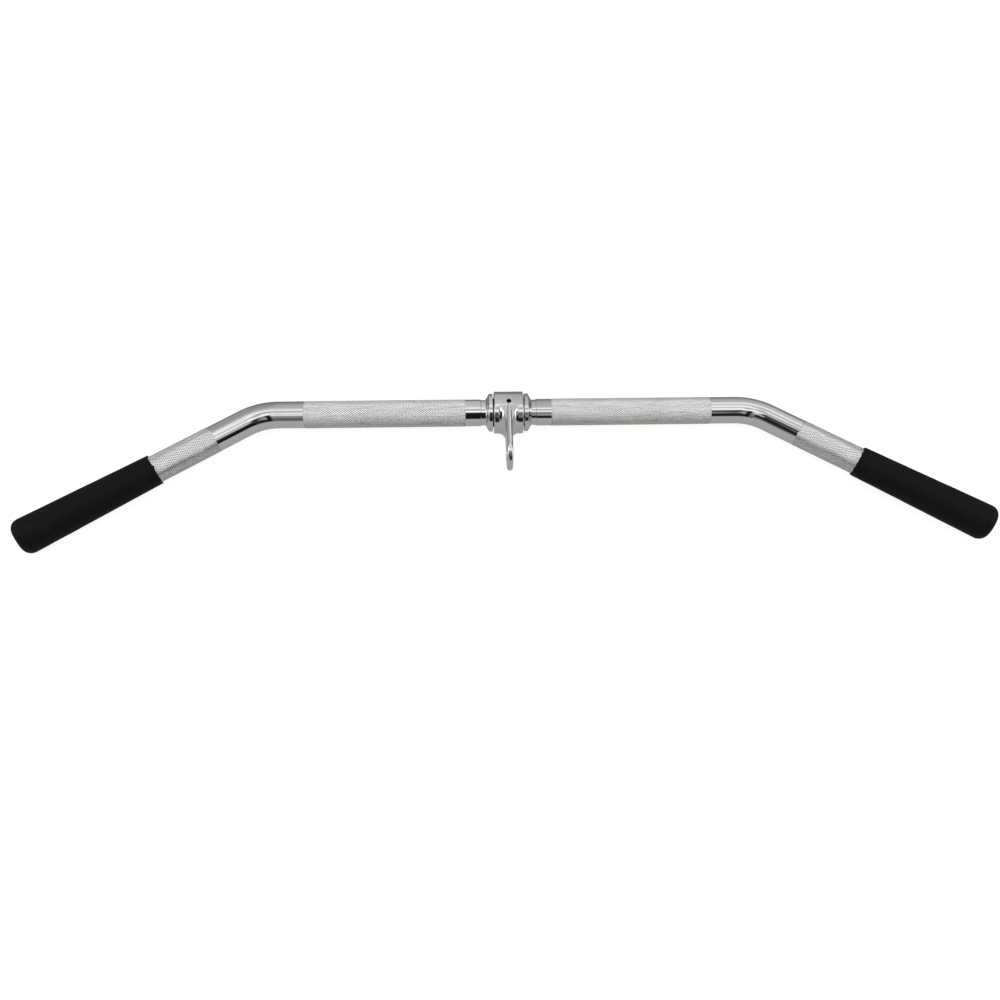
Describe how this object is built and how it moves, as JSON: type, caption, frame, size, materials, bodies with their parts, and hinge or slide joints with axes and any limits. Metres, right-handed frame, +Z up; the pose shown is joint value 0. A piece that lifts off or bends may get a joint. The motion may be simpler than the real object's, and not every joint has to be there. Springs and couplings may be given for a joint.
{
  "type": "lat pulldown bar",
  "caption": "Bent chrome lat pulldown bar with knurled zones, black rubber handgrips and a revolving hanger with an eye for a cable's carabiner.",
  "frame": {"origin": "centre of the hanger's eye hole, halfway through the plate", "axes": "+X along the middle of the bar and through the eye hole, -Y the way the arms and the eye point as the bar lies on a table, +Z up from the table"},
  "size_m": [0.9696, 0.1765, 0.044],
  "materials": {
    "chrome_tube": "bright chrome plate on steel tube, knurled in the grip zones",
    "chrome_spindle": "bright chrome plate on ground steel bar",
    "chrome_casting": "bright chrome plate on a polished steel casting",
    "chrome_collar": "bright chrome plate on turned steel",
    "black_nylon": "black nylon, turned",
    "black_screw_steel": "black oxide",
    "pin_steel": "ground, bare",
    "plain_steel": "bare, stamped",
    "grip_rubber": "matte black moulded rubber"
  },
  "bodies": {
    "bar": {"centre_spindle": "chrome_spindle", "arm_tube_left": "chrome_tube", "arm_tube_right": "chrome_tube", "collar_left": "chrome_collar", "collar_right": "chrome_collar", "collar_screw_left": "black_screw_steel", "collar_screw_right": "black_screw_steel", "spigot_pin_left": "pin_steel", "spigot_pin_right": "pin_steel", "end_disc_left": "plain_steel", "end_disc_right": "plain_steel", "grip_left": "grip_rubber", "grip_right": "grip_rubber"},
    "hanger": {"swivel_hanger": "chrome_casting", "bushing_left": "black_nylon", "bushing_right": "black_nylon"}
  },
  "joints": [
    {"name": "swivel", "type": "hinge", "parent": "bar", "child": "hanger", "pos_m": [0, 0.04746, 0.002], "axis": [-1, 0, 0], "continuous": true}
  ]
}
